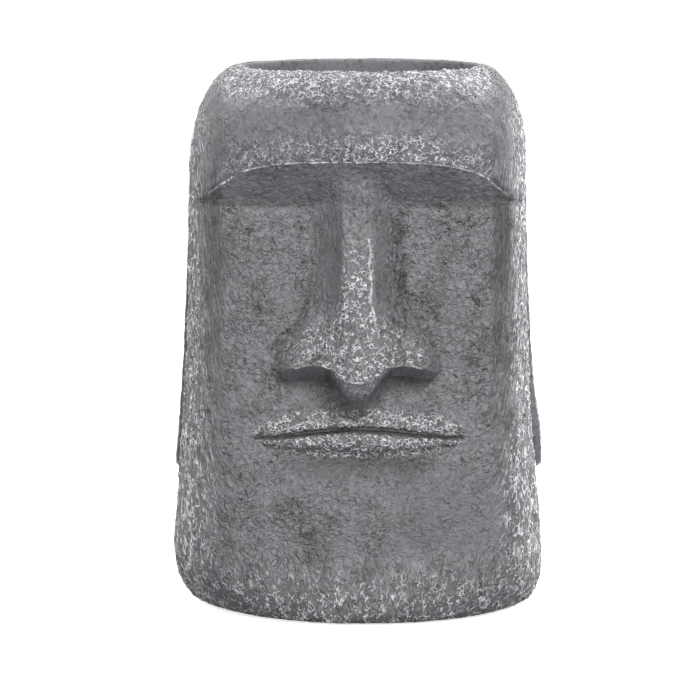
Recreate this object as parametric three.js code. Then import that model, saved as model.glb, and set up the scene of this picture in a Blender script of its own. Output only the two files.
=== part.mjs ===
// A planter cast in stone-coloured cement as a moai head: one hollow piece, open at the crown.
// Millimetres, +Z up. The face looks along -Y and +X is on the right of someone who looks at it.
// The origin lies on the ground, at the centre of the box around the footprint.
//
// The whole piece is one closed surface. It is a grid of columns, which run round the head, and rows,
// which run from the underside up the outside, over the rim and down the inside to the pot's floor.

import * as THREE from "three";

// ---- Overall sizes ----
const HEIGHT = 415;
const WALL = 15;
const FLOOR = 18; // thickness of the pot's floor
const RIM_ROLL = 3; // radius of the edge between the crown and the mouth

// How far the plain head, without its face, reaches from its axis in each direction. "foot" is the edge
// that stands on the ground, "jaw" is the widest place, just above it, and "crest" is the top of the rim.
const SIDE = { foot: 133, jaw: 145, jawZ: 31, top: 127, shoulder: 68, crest: 92.5, mouth: 91.5 };
const FRONT = { foot: 112, jaw: 126, jawZ: 31, top: 118, shoulder: 22, crest: 92.5, mouth: 89.5 };
const BACK = { foot: 107, jaw: 118, jawZ: 31, top: 113, shoulder: 43, crest: 92.5, mouth: 89.5 };
const SHOULDER_POWER = 0.5; // the shoulders are true quarter ellipses
const CROWN_SHIFT = 2; // the crown and the mouth stand a little to the right

// How square the plan is: the exponent of a superellipse, where 2 is an ellipse, at heights in mm.
const FRONT_SQUARENESS = [[0, 2.2], [30, 2.8], [70, 3.5], [140, 4], [352, 4], [390, 3], [HEIGHT, 2.15]];
const WORN = { side: 6, squareness: 0.2, height: 42 }; // the left front corner of the foot is worn rounder
const BACK_SQUARENESS = 2.4;
const CAVITY_SQUARENESS = [[FLOOR, 2.4], [90, 3], [330, 3], [HEIGHT, 2.15]];

// ---- The face ----
const BROW = { z: 352, reach: 128 }; // its lower edge, at the middle
const EYE = { z: 318, halfWidth: 117 }; // the line where the brow's underside meets the cheeks
const LID_SLOPE = 0.84; // how far that underside comes forward for each mm up
const CHEEK_REACH = [[31, 127], [90, 122.5], [150, 115.5], [EYE.z, 99.5]];
const CHEEK_SQUARENESS = [[60, 3.6], [150, 5], [EYE.z, 9]];
const EYE_HOLLOW = { x: 36, z: 308, depth: 3.5, radius: 13 };

// The nose is lofted from its half widths at heights: a flat ridge, which drifts aside, on a wider foot.
const RIDGE_X = [[180, 0.5], [215, 2.5], [260, 1.5], [324, -0.5]];
const RIDGE_HALF = [[180, 15], [203, 15], [240, 12.5], [324, 10.5]];
const NOSE_FOOT = [[180, 57], [196, 60.5], [212, 55.5], [228, 44.5], [243, 38], [262, 33], [324, 29]];
const NOSE_RISE = [[200, 49], [262, 32], [324, 17]]; // how far the ridge stands above the cheeks
const WING = { fullZ: 207, endZ: 258, rise: 0.62, valley: 0.45 }; // rise and valley are shares of the nose
const NOSE_EDGE = { tipZ: 182, tipHalf: 6, archZ: 203, archX: 22, lobeDrop: 7 }; // its lowest edge
const NOSE_UNDER = { tip: 9, nostril: 13 }; // heights from that edge down to the upper lip
const TIP_ROUND = 19; // how far above the edge the tip starts to curve under

const MOUTH = { halfWidth: 78, x: 2, z: 150.2, cornerZ: 143.5 };
const UPPER_LIP = { height: 15.5, rise: 7.5, step: 0.3, dip: 6, dipX: 3, dipHalf: 7 };
const LOWER_LIP = { height: 16.5, rise: 8 };
const LIP_CUT = { depth: 8, half: 1.3 };
const MUZZLE = { z: 150, rise: 4, halfHeight: 34, halfWidth: 62 };
const PHILTRUM = { depth: 2.4, half: 7, z: 170, halfHeight: 11 };
const LIP_HOLLOW = { z: 122, depth: 5, halfHeight: 8, halfWidth: 58 };
const CHIN = { z: 84, rise: 3, halfHeight: 26, halfWidth: 55 };

// ---- The ears: long slabs on the sides, with lobes that flare ----
const EAR = {
  front: -24,
  back: 24,
  topZ: 329,
  lowZ: 103,
  frontRise: [[103, 4.5], [230, 4], [329, 2.5]],
  backRise: [[103, 6.5], [150, 6.5], [230, 5], [329, 3.5]],
  edge: 3, // width of the step round it
  channelHalf: 7, // a shallow channel runs down the middle
  channelDepth: 3,
  channelTopZ: 306,
  channelLowZ: 150,
  lobeZ: 130,
  lobeHalf: 32,
  lobeSwell: { left: 0, right: 3.5 },
};

// ---- Resolution: how many grid cells each stretch of one half gets, from the nose round to the back ----
const COLUMNS = { ridge: 3, flank: 7, cheek: 10, corner: 5, ear: 6, back: 8 };
const CHEEK_END = 0.9; // the share of the half width where the cheek's columns end
const CAVITY_ROWS = 4;

// ---- Small maths ----
const clamp01 = (t) => Math.min(1, Math.max(0, t));
const mix = (a, b, t) => a + (b - a) * t;
const ease = (t) => clamp01(t) ** 2 * (3 - 2 * clamp01(t));
const bell = (t) => Math.exp(-t * t);

// The larger of two values, with the corner between them rounded over r.
function smoothMax(a, b, r) {
  const h = Math.max(r - Math.abs(a - b), 0) / r;
  return Math.max(a, b) + (h * h * r) / 4;
}
const smoothMin = (a, b, r) => -smoothMax(-a, -b, r);

// A value that runs smoothly through [height, value] pairs and is level beyond the first and the last.
function along(pairs, z) {
  if (z <= pairs[0][0]) return pairs[0][1];
  for (let i = 1; i < pairs.length; i++) {
    const [z0, v0] = pairs[i - 1];
    const [z1, v1] = pairs[i];
    if (z <= z1) {
      const span = z1 - z0;
      return hermite(v0, v1, slopeAt(pairs, i - 1), slopeAt(pairs, i), span, (z - z0) / span);
    }
  }
  return pairs[pairs.length - 1][1];
}

function slopeAt(pairs, i) {
  const before = pairs[Math.max(0, i - 1)];
  const after = pairs[Math.min(pairs.length - 1, i + 1)];
  return (after[1] - before[1]) / (after[0] - before[0]);
}

function hermite(v0, v1, m0, m1, span, t) {
  const t2 = t * t;
  const t3 = t2 * t;
  const ends = (2 * t3 - 3 * t2 + 1) * v0 + (3 * t2 - 2 * t3) * v1;
  return ends + ((t3 - 2 * t2 + t) * m0 + (t3 - t2) * m1) * span;
}

// ---- The plain head ----
// How far the head reaches in one direction at height z, from the rounded foot to the rim's crest.
function reach(side, z) {
  const shoulderZ = HEIGHT - side.shoulder;
  if (z < side.jawZ) {
    return side.foot + (side.jaw - side.foot) * Math.sqrt(1 - (1 - z / side.jawZ) ** 2);
  }
  if (z <= shoulderZ) {
    const up = (z - side.jawZ) / (shoulderZ - side.jawZ);
    return side.top + (side.jaw - side.top) * (1 - up) ** 2;
  }
  const turn = (z - shoulderZ) / side.shoulder;
  return side.crest + (side.top - side.crest) * Math.max(0, 1 - turn * turn) ** SHOULDER_POWER;
}

// The forehead leans out to the brow, and below it the cheeks are cut out of a plain upright front.
function frontReach(z) {
  const shoulderZ = HEIGHT - FRONT.shoulder;
  if (z < FRONT.jawZ || z > shoulderZ) return reach(FRONT, z);
  return along([[FRONT.jawZ, FRONT.jaw], [200, 126], [BROW.z, BROW.reach], [shoulderZ, FRONT.top]], z);
}

const crownShift = (z) => CROWN_SHIFT * ease((z - 330) / (HEIGHT - 330));

const worn = (z, onLeft) => (onLeft ? 1 - ease(z / WORN.height) : 0);
const sideReach = (z, onLeft) => reach(SIDE, z) - WORN.side * worn(z, onLeft);
const frontSquareness = (z, onLeft) => along(FRONT_SQUARENESS, z) - WORN.squareness * worn(z, onLeft);

// One horizontal section of the head on one side: how far it reaches and how square it is.
function section(z, onLeft) {
  return {
    z,
    side: sideReach(z, onLeft),
    front: frontReach(z),
    back: reach(BACK, z),
    frontPower: frontSquareness(z, onLeft),
    backPower: BACK_SQUARENESS,
  };
}

const superellipse = (share, power) => Math.max(0, 1 - Math.abs(share) ** power) ** (1 / power);

// ---- Face relief: every function gives mm forward of the cheeks at x, z ----
// The lower edge of the nose: low at the tip, arched over the nostrils, lower again on the wings.
function noseEdge(x) {
  const away = Math.abs(x - along(RIDGE_X, NOSE_EDGE.tipZ));
  const out = ease((away - NOSE_EDGE.tipHalf) / (NOSE_EDGE.archX - NOSE_EDGE.tipHalf));
  const arch = (NOSE_EDGE.archZ - NOSE_EDGE.tipZ) * out;
  return NOSE_EDGE.tipZ + arch - NOSE_EDGE.lobeDrop * ease((away - 34) / 28);
}

const overNostril = (x) => ease((Math.abs(x - along(RIDGE_X, NOSE_EDGE.tipZ)) - 6) / 18);
const noseUnder = (x) => mix(NOSE_UNDER.tip, NOSE_UNDER.nostril, overNostril(x));

// The share of the nose's rise that is left at height z: the tip curves under, the wings are cut off.
function noseCut(x, z) {
  const height = noseUnder(x);
  const foot = noseEdge(x) - height;
  const curve = clamp01((z - foot) / (height + TIP_ROUND));
  const tip = (1 - (1 - curve) ** 2.2) ** (1 / 2.2);
  const plane = smoothMin(clamp01((z - foot) / height), 1, 0.12);
  return mix(tip, plane, overNostril(x));
}

// The nose's shape across, from the ridge's edge (t = 0) to its foot (t = 1).
function flank(t, wing) {
  const plain = 1 - 1.35 * t + 0.35 * t * t;
  const bulb = WING.rise * Math.sqrt(1 - t ** 5) + (1 - WING.rise) * (1 - ease(t / WING.valley));
  return mix(plain, bulb, wing);
}

function nose(x, z) {
  const centre = along(RIDGE_X, z);
  const dx = x - centre;
  const ridge = along(RIDGE_HALF, z);
  const foot = along(NOSE_FOOT, z) - Math.sign(dx) * centre;
  const t = (Math.abs(dx) - ridge) / (foot - ridge);
  const wing = ease((WING.endZ - z) / (WING.endZ - WING.fullZ));
  const across = t <= 0 ? 1 : flank(clamp01(t), wing);
  const crown = 0.03 * Math.min(1, (dx / ridge) ** 2);
  return along(NOSE_RISE, z) * Math.max(0, across - crown * across) * noseCut(x, z);
}

// How far out from the middle of the mouth x lies, as a share of its half width, and the lips' lines there.
const lipShare = (x) => clamp01(Math.abs(x - MOUTH.x) / MOUTH.halfWidth);
const lipTaper = (x) => superellipse(lipShare(x), 1.7);
const lipLine = (x) => mix(MOUTH.cornerZ, MOUTH.z, (1 - lipShare(x) ** 2) ** 2);
const lowerLipEdge = (x) => lipLine(x) - LOWER_LIP.height * superellipse(lipShare(x), 1.25);

function upperLipEdge(x) {
  const dip = UPPER_LIP.dip * bell((x - UPPER_LIP.dipX) / UPPER_LIP.dipHalf);
  return lipLine(x) + UPPER_LIP.height * (1 - lipShare(x)) ** 0.8 - dip;
}

// The upper lip slopes out like a roof, and the lower lip swells below the line between them.
function lips(x, z) {
  const taper = lipTaper(x);
  const line = lipLine(x);
  const ends = ease((MOUTH.halfWidth + 4 - Math.abs(x - MOUTH.x)) / 8);
  const cut = LIP_CUT.depth * bell((z - line) / LIP_CUT.half) * ends;
  if (taper === 0) return -cut;
  const above = clamp01((z - line) / (upperLipEdge(x) - line));
  const below = clamp01((line - z) / (line - lowerLipEdge(x)));
  const roof = mix(1, UPPER_LIP.step, above) * Math.sqrt(1 - above ** 8);
  const swell = z > line ? UPPER_LIP.rise * roof : LOWER_LIP.rise * Math.sqrt(1 - below ** 3.5);
  return swell * taper ** 0.5 - cut;
}

function softForms(x, z) {
  const muzzle = MUZZLE.rise * bell((z - MUZZLE.z) / MUZZLE.halfHeight) * bell(x / MUZZLE.halfWidth);
  const philtrum = PHILTRUM.depth * bell((x - UPPER_LIP.dipX) / PHILTRUM.half)
    * bell((z - PHILTRUM.z) / PHILTRUM.halfHeight);
  const hollow = LIP_HOLLOW.depth * bell((z - LIP_HOLLOW.z) / LIP_HOLLOW.halfHeight)
    * bell(x / LIP_HOLLOW.halfWidth);
  const chin = CHIN.rise * bell((z - CHIN.z) / CHIN.halfHeight) * bell(x / CHIN.halfWidth);
  const eye = EYE_HOLLOW.depth * bell((Math.abs(x) - EYE_HOLLOW.x) / EYE_HOLLOW.radius)
    * bell((z - EYE_HOLLOW.z) / EYE_HOLLOW.radius);
  return muzzle + chin - philtrum - hollow - eye;
}

// How far forward the cheeks reach at x, z, and the slanting underside of the brow above them.
function cheekPlan(x, z) {
  const share = Math.min(1, Math.abs(x) / sideReach(z, x < 0));
  return superellipse(share, along(CHEEK_SQUARENESS, z));
}

const cheekReach = (x, z) => along(CHEEK_REACH, z) * cheekPlan(x, z);
const lidReach = (x, z) => along(CHEEK_REACH, EYE.z) * cheekPlan(x, z) + LID_SLOPE * (z - EYE.z);

// How far forward the plain head reaches at x, z.
function headReach(x, z) {
  const share = Math.min(1, Math.abs(x) / sideReach(z, x < 0));
  return frontReach(z) * superellipse(share, frontSquareness(z, x < 0));
}

// How far the finished face reaches: the cheeks and their relief, under the brow, cut out of the head.
function faceReach(x, z) {
  const relief = Math.max(0, nose(x, z)) + Math.max(0, lips(x, z));
  const blend = mix(3, 6, bell(x / 24)); // the bridge of the nose runs softly into the brow
  const under = cheekReach(x, z) + nose(x, z) + lips(x, z) + softForms(x, z);
  const face = smoothMax(under, lidReach(x, z), blend);
  const proud = z < EYE.z ? relief : 0;
  const edge = mix(9, 1.5, ease((z - 280) / (EYE.z - 280)));
  return smoothMin(headReach(x, z) + proud, face, edge);
}

// ---- Ear relief: mm out from the side at y, z ----
function ear(y, z, lobeSwell) {
  const inY = Math.min(y - EAR.front, EAR.back - y) / EAR.edge;
  const inZ = Math.min(z - EAR.lowZ, EAR.topZ - z) / EAR.edge;
  const back = clamp01((y - EAR.front) / (EAR.back - EAR.front));
  const rise = mix(along(EAR.frontRise, z), along(EAR.backRise, z), back);
  const lobe = lobeSwell * bell((z - EAR.lobeZ) / EAR.lobeHalf);
  const across = ease(1.7 - Math.abs(y) / EAR.channelHalf);
  const down = ease((EAR.channelTopZ - z) / 14) * ease((z - EAR.channelLowZ) / 14);
  return (rise + lobe - EAR.channelDepth * across * down) * Math.min(clamp01(inY), clamp01(inZ));
}

// ---- Columns: where each stands on the plan of one section ----
const STRETCHES = Object.values(COLUMNS);
const HALF_COUNT = STRETCHES.reduce((sum, count) => sum + count, 0);
const COLUMN_COUNT = 2 * HALF_COUNT;

function sideAtY(s, y) {
  const share = y < 0 ? superellipse(y / s.front, s.frontPower) : superellipse(y / s.back, s.backPower);
  return s.side * share;
}

// Column 0 is in the middle of the face, and the count runs round by the right side and the back.
function planPoint(column, z) {
  const sign = column > HALF_COUNT ? -1 : 1;
  const s = section(z, sign < 0);
  let index = column > HALF_COUNT ? COLUMN_COUNT - column : column;
  let stretch = 0;
  while (stretch < STRETCHES.length - 1 && index >= STRETCHES[stretch]) {
    index -= STRETCHES[stretch];
    stretch += 1;
  }
  const t = index / STRETCHES[stretch];
  if (stretch < 3) return facePoint(stretch, t, sign, s);
  if (stretch === 3) {
    const y = mix(-s.front * superellipse(CHEEK_END, s.frontPower), EAR.front, t);
    return [sign * sideAtY(s, y), y];
  }
  if (stretch === 4) {
    const middle = EAR.channelHalf * 1.7;
    const y = [EAR.front, EAR.front + EAR.edge, -middle, 0, middle, EAR.back - EAR.edge][index];
    return [sign * sideAtY(s, y), y];
  }
  const start = Math.asin((EAR.back / s.back) ** (s.backPower / 2));
  const turn = mix(start, Math.PI / 2, t);
  const power = 2 / s.backPower;
  return [sign * s.side * Math.max(0, Math.cos(turn)) ** power, s.back * Math.sin(turn) ** power];
}

// On the face the columns keep to the nose: its ridge, its flanks, then the cheeks.
function facePoint(stretch, t, sign, s) {
  const centre = along(RIDGE_X, s.z) * ease(s.z / 60);
  const ridgeEdge = centre + sign * along(RIDGE_HALF, s.z);
  const ends = [centre, ridgeEdge, sign * along(NOSE_FOOT, s.z), sign * CHEEK_END * s.side];
  const x = mix(ends[stretch], ends[stretch + 1], t);
  return [x, -s.front * superellipse(Math.abs(x) / s.side, s.frontPower)];
}

// ---- Rows: heights on the plain parts, which the face and the ears pull to their own edges ----
const evenly = (from, to, count) => Array.from({ length: count }, (_, i) => mix(from, to, i / count));

const ROW_KEYS = [0, 36, 133, 134.5, 149, 150.5, 152, 163, 164, 177, 197, 203, EYE.z, BROW.z];
const FOOT_ROWS = [0, 2, 8, 20];
const ROWS = [
  ...FOOT_ROWS,
  ...evenly(36, 108, 4),
  ...evenly(108, 133, 3),
  133,
  ...evenly(134.5, 149, 3),
  149,
  150.5,
  ...evenly(152, 163, 3),
  163,
  ...evenly(164, 177, 2),
  ...evenly(177, 197, 4),
  197,
  ...evenly(203, 235, 4),
  ...evenly(235, EYE.z, 6),
  ...evenly(EYE.z, BROW.z, 5),
  BROW.z,
  356,
  365,
  377,
  388,
  398,
  405,
  410,
  413.4,
];

// The heights that the rows named in ROW_KEYS have at x on the face.
function keysOnFace(x) {
  const gap = 3.5; // rows never come closer together than this
  const line = lipLine(x);
  const mouthEnds = ease((Math.abs(x - MOUTH.x) - MOUTH.halfWidth) / 30);
  const low = mix(Math.min(lowerLipEdge(x), line - gap), 133, mouthEnds);
  const middle = mix(line, 150.5, mouthEnds);
  const high = mix(Math.max(upperLipEdge(x), line + gap), 164, mouthEnds);
  const noseEnds = ease((Math.abs(x) - 61) / 25);
  const edge = mix(noseEdge(x), 197, noseEnds);
  const foot = mix(noseEdge(x) - noseUnder(x), 177, noseEnds);
  const over = mix(2, 6, noseEnds);
  const step = Math.min(1.5, (high - middle - 1.5) / 3);
  const mouth = [low, low + step, middle - 1.5, middle, middle + 1.5, high - step, high];
  return [0, 36, ...mouth, Math.max(foot, high + gap), edge, edge + over, EYE.z, browEdge(x)];
}

// The brow's lower edge arches, because the round forehead is cut by a slanting plane.
function browEdge(x) {
  let z = BROW.z;
  for (let pass = 0; pass < 8; pass++) z += (headReach(x, z) - lidReach(x, z)) / (LID_SLOPE + 0.1);
  return Math.max(z, EYE.z + 3);
}

// Moves a row's plain height z as the nearest keys move from one list of heights to another.
function pulled(z, from, to) {
  const last = from.length - 1;
  if (z >= from[last]) return mix(to[last], HEIGHT, (z - from[last]) / (HEIGHT - from[last]));
  const i = from.findIndex((key, k) => k < last && z < from[k + 1]);
  return mix(to[i], to[i + 1], (z - from[i]) / (from[i + 1] - from[i]));
}

// At the ear, the two rows nearest each of its ends close up round the step.
const EAR_KEYS = [0, 90, 108, EYE.z, EYE.z + 8.5, EYE.z + 17];
const EAR_ENDS = [0, EAR.lowZ, EAR.lowZ + EAR.edge, EYE.z - 2, EAR.topZ - EAR.edge, EAR.topZ];

function rowHeight(z, x, y) {
  const onFace = y < 0 ? ease((-y - 40) / 30) : 0;
  const onEar = ease((70 - Math.abs(y)) / 30);
  const face = onFace > 0 ? pulled(z, ROW_KEYS, keysOnFace(x)) : z;
  const side = pulled(z, EAR_KEYS, EAR_ENDS);
  return z + (face - z) * onFace + (side - z) * onEar;
}

// ---- The surface ----
function outerPoint(column, z0) {
  let z = z0;
  for (let pass = 0; pass < 4 && z0 > FOOT_ROWS[FOOT_ROWS.length - 1]; pass++) {
    z = rowHeight(z0, ...planPoint(column, z));
  }
  const [x, y] = planPoint(column, z);
  if (y < 0 && Math.abs(x) < EYE.halfWidth + 8) return [x + crownShift(z), -faceReach(x, z), z];
  const lobe = x < 0 ? EAR.lobeSwell.left : EAR.lobeSwell.right;
  return [x + Math.sign(x) * ear(y, z, lobe) + crownShift(z), y, z];
}

// The inside keeps the wall's thickness behind the plain head and the cheeks, up to the mouth.
function cavitySection(z) {
  const belowRim = Math.min(z, HEIGHT - RIM_ROLL);
  const cheek = along([...CHEEK_REACH, [HEIGHT, FRONT.mouth + WALL]], z);
  return {
    side: Math.max(reach(SIDE, belowRim) - WALL, SIDE.mouth),
    front: Math.min(cheek, frontReach(Math.min(z, BROW.z))) - WALL,
    back: Math.max(reach(BACK, belowRim) - WALL, BACK.mouth),
  };
}

// A column's point on an inner section: its direction on the outer plan, brought onto the inner one.
function innerPoint(column, z, inner, shrink = 1) {
  const outer = section(z, false);
  const [x, y] = planPoint(column, z);
  const across = x / outer.side;
  const deep = y / (y < 0 ? outer.front : outer.back);
  const power = along(CAVITY_SQUARENESS, z);
  const size = (Math.abs(across) ** power + Math.abs(deep) ** power) ** (1 / power) / shrink;
  const depth = y < 0 ? inner.front : inner.back;
  return [(inner.side * across) / size + crownShift(z), (depth * deep) / size, z];
}

function rings() {
  const columns = [...Array(COLUMN_COUNT).keys()];
  const made = [];
  made.push(columns.map((c) => outerPoint(c, 0).map((v, i) => (i < 2 ? v * 0.6 : 0))));
  ROWS.forEach((z) => made.push(columns.map((c) => outerPoint(c, z))));
  const crest = { side: SIDE.crest, front: FRONT.crest, back: BACK.crest };
  const mouth = cavitySection(HEIGHT);
  made.push(columns.map((c) => innerPoint(c, HEIGHT, crest)));
  const roll = (a, b) => mix(a, b, Math.SQRT1_2);
  const halfway = {
    side: roll(mouth.side, crest.side),
    front: roll(mouth.front, crest.front),
    back: roll(mouth.back, crest.back),
  };
  made.push(columns.map((c) => innerPoint(c, HEIGHT - RIM_ROLL * (1 - Math.SQRT1_2), halfway)));
  const cornerZ = FLOOR + 14; // the floor's rounded corner starts here
  const depths = evenly(0, 1, CAVITY_ROWS).map((t) => mix(HEIGHT - RIM_ROLL, cornerZ, t ** 1.3));
  [...depths, cornerZ].forEach((z) => made.push(columns.map((c) => innerPoint(c, z, cavitySection(z)))));
  const low = cavitySection(cornerZ);
  made.push(columns.map((c) => innerPoint(c, FLOOR + 4, low, 0.965)));
  made.push(columns.map((c) => innerPoint(c, FLOOR, low, 0.88)));
  made.push(columns.map((c) => innerPoint(c, FLOOR, low, 0.5)));
  return made;
}

// Joins the rings by pairs of triangles, split along the shorter diagonal, and closes both ends with fans.
function closedSurface(made) {
  const count = made[0].length;
  const points = [...made.flat(), [0, 0, 0], [0, 0, FLOOR]];
  const faces = [];
  const gap = (a, b) => Math.hypot(...points[a].map((v, i) => v - points[b][i]));
  for (let r = 0; r + 1 < made.length; r++) {
    for (let c = 0; c < count; c++) {
      const a = r * count + c;
      const b = r * count + ((c + 1) % count);
      const [d, e] = [a + count, b + count];
      if (gap(a, e) < gap(b, d)) faces.push(a, b, e, a, e, d);
      else faces.push(a, b, d, b, e, d);
    }
  }
  const last = (made.length - 1) * count;
  for (let c = 0; c < count; c++) {
    const next = (c + 1) % count;
    faces.push(next, c, points.length - 2);
    faces.push(last + c, last + next, points.length - 1);
  }
  return { points, faces };
}

function headGeometry() {
  const { points, faces } = closedSurface(rings());
  const geometry = new THREE.BufferGeometry();
  geometry.setAttribute("position", new THREE.BufferAttribute(new Float32Array(points.flat()), 3));
  geometry.setIndex(faces);
  geometry.computeBoundingBox();
  const centre = geometry.boundingBox.getCenter(new THREE.Vector3());
  geometry.translate(-centre.x, -centre.y, 0);
  geometry.computeVertexNormals();
  return geometry;
}

const castStone = new THREE.MeshStandardMaterial({ color: 0x7b7b7e, roughness: 0.9, metalness: 0 });

const head = new THREE.Mesh(headGeometry(), castStone);
head.name = "moai_head_planter";

const planter = new THREE.Group();
planter.add(head);

export default planter;
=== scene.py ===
"""A head-shaped planter in cast stone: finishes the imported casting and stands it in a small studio."""

import math

import bmesh
import bpy
import numpy as np
from bpy.props import FloatProperty, FloatVectorProperty, PointerProperty
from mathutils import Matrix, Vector, noise
from mathutils.bvhtree import BVHTree
from mathutils.kdtree import KDTree


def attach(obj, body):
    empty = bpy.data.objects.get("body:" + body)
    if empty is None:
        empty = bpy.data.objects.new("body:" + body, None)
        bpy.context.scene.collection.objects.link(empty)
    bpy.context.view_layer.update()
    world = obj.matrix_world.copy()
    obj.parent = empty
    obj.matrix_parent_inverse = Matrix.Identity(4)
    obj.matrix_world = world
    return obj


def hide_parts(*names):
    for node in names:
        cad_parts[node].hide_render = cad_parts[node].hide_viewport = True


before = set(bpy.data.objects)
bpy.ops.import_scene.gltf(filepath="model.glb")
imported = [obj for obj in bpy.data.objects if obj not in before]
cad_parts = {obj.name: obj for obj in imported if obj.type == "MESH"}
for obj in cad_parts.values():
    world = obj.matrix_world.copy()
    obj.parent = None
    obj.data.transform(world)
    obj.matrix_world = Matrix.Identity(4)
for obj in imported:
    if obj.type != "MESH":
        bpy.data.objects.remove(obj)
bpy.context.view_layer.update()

bl_info = {
    "name": "Stone head planter",
    "version": (1, 0, 0),
    "blender": (4, 5, 0),
    "location": "3D View > Sidebar > Planter",
    "description": "Finishes a cast stone head planter and its weathered skin",
    "category": "Object",
}

CASTING_NODE = "moai_head_planter"
MM = 0.001

# The head's upright axis, in millimetres from the frame's origin.
AXIS_X, AXIS_Y = -0.7, 20.9

# The face's own forms, in millimetres: each x and y is from the axis, and each z is above the ground.
EYE_Z, BROW_Z, BROW_HALF = 318, 352, 117
MOUTH_X, MOUTH_Z, MOUTH_HALF = 2, 150.2, 78
MOUTH_CORNER_DROP, LIP_RISE, UNDER_LIP_Z = 6.7, 15.5, 121
POT_FLOOR_Z = 18

# Up the head: each pair is the height at which a form fades in and the height at which it is whole.
# The last pair fades in a painted contact shadow along the foot, darkest at the ground.
FOOT_TOP, UPRIGHT_SKIN_TOP, FOOT_SHADOW_TOP = (58, 14), (72, 44), (9, 0)
CHIN_FOOT, CHIN_TOP = (50, 66), (128, 112)
CORNER_FOOT, CORNER_TOP = (40, 60), (350, 344)
EAR_FOOT, EAR_TOP = (100, 106), (332, 326)
TIP_FOOT, TIP_TOP = (166, 174), (216, 205)
RIDGE_FOOT, RIDGE_TOP = (196, 214), (344, 338)
CHEEK_FOOT, CHEEK_TOP = (185, 215), (318, 306)
VALLEY_FOOT, VALLEY_TOP = (214, 232), (324, 308)
FLANK_FOOT, FLANK_TOP = (232, 262), (340, 318)
FOREHEAD_FOOT, FOREHEAD_TOP = (358, 368), (396, 384)
CROWN_FOOT = (386, 408)

# Out from the middle, in the same way.
RIDGE_SIDE, TIP_SIDE, FLANK_SIDE, CHEEK_SIDE = (36, 26), (30, 20), (38, 28), (36, 44)
CORNER_SIDE, BLOCK_SIDE, EAR_SIDE = (98, 106), (98, 122), (60, 80)

# From back to front or front to back, in the same way.
FACE_Y, WORN_FACE_Y, MOUTH_Y = (-55, -75), (-50, -62), (-50, -60)
FRONT_CORNER_Y, BACK_Y, CROWN_BACK_Y, EAR_Y = (5, -45), (-20, 30), (60, 10), (31, 25)

# Folds between faces, in degrees, and how firmly they are creased, from 0 to 1.
SHARP_FOLD, BROW_FOLD = 27, 22
BROW_CREASE, EAR_CREASE, FACE_CREASE = 0.9, 0.6, 0.45

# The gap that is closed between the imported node's loose triangles and the distance between the marks along
# an edge, in metres, and the longest distance from a mark that is kept, in millimetres.
MERGE_GAP, MARK_SPACING, GAP_LIMIT = 0.02 * MM, 0.6 * MM, 40
SOFTEN_ROUNDS = 14

# Depths and widths of the relief, in millimetres.
SCAR_DEPTH, SCAR_WIDTH, UNDER_LIP_DEPTH = 1.3, 1.5, 2.0
BAND_DEPTH, GROOVE_DEPTH, GROOVE_WIDTH = 2.6, 3.2, 1.5
CORNER_DEPTH, CORNER_RADIUS, CORNER_INSET = 2.4, 2.6, 4

# Scars in the skin, and the worn line down the nose: runs of points, x and z.
WING_CRACK = ((-43, 233), (-50, 226), (-55, 222), (-61, 214), (-65, 209))
SMALL_SCARS = (((-66, 185), (-65, 181)), ((-58, 192), (-57, 189)), ((72, 191), (75, 189)))
FOOT_GOUGE = ((-86, 32), (-82, 35), (-77, 40))
RIDGE_WEAR = ((8, 296), (9.5, 286), (8.5, 275), (10.5, 263), (9.5, 252), (12, 243), (13, 234), (16, 226))

# Lumps and wrinkles of the casting, in waves to the metre; the wrinkles are drawn out along z.
LUMP_WAVES, SMALL_LUMP_WAVES, WRINKLE_WAVES = 24, 61, 165
WRINKLE_SQUEEZE = np.array((1.0, 1.0, 0.3))

# Sizes of the patterns in the skin and the stone, in metres.
SWAY_SIZE, SWAY_REACH = 0.0065, 0.007
CLUSTER_SIZE, BUMP_SIZE, PIT_SPACING, PATCH_SIZE = 0.0048, 0.0032, 0.0058, 0.021
CLOUD_SIZE, STAIN_SIZE, BROKEN_SIZE, BLOTCH_SIZE = 0.055, 0.022, 0.012, 0.007
MOTTLE_SIZE, RAGGED_SIZE, GRAIN_SIZE = 0.0042, 0.004, 0.0022

# The pattern of the upright skin is drawn out along z: its z is squeezed, and then moved so that it stays in
# step with the rest of the skin where the foot's band fades out.
UPRIGHT_SQUEEZE, UPRIGHT_SHIFT = (1.0, 1.0, 0.40), (0.0, 0.0, 0.035)

# Each soft light's name, place, width and height in metres, the setting that powers it and its share of it.
LIGHT_TARGET = (0, 0, 0.22)
LIGHTS = (
    ("key_light", (0.3, -1.7, 1.5), 1.0, 0.6, "key_power", 1.0),
    ("front_light", (0.3, -2.4, 0.3), 1.6, 0.8, "key_power", 0.28),
    ("top_light", (0.0, 0.45, 1.7), 0.9, 0.6, "key_power", 0.72),
    ("left_light", (-1.25, 0.85, 0.5), 0.5, 1.3, "left_power", 1.0),
    ("right_light", (1.25, 0.85, 0.5), 0.5, 1.3, "right_power", 1.0),
)


# ---- Small maths on whole fields of points ----
def smooth(low, high, value):
    """Runs softly from 0 at low to 1 at high, which may lie either way round."""
    t = np.clip((value - low) / (high - low), 0, 1)
    return t * t * (3 - 2 * t)


def between(start, end, value):
    """Fades in over one pair of values and out again over the other."""
    return smooth(*start, value) * smooth(*end, value)


def bell(value):
    return np.exp(-value * value)


# ---- The casting's mesh ----
def deselect_all():
    if bpy.context.mode != "OBJECT":
        bpy.ops.object.mode_set(mode="OBJECT")
    bpy.ops.object.select_all(action="DESELECT")


def make_active(piece):
    deselect_all()
    piece.select_set(True)
    bpy.context.view_layer.objects.active = piece


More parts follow.
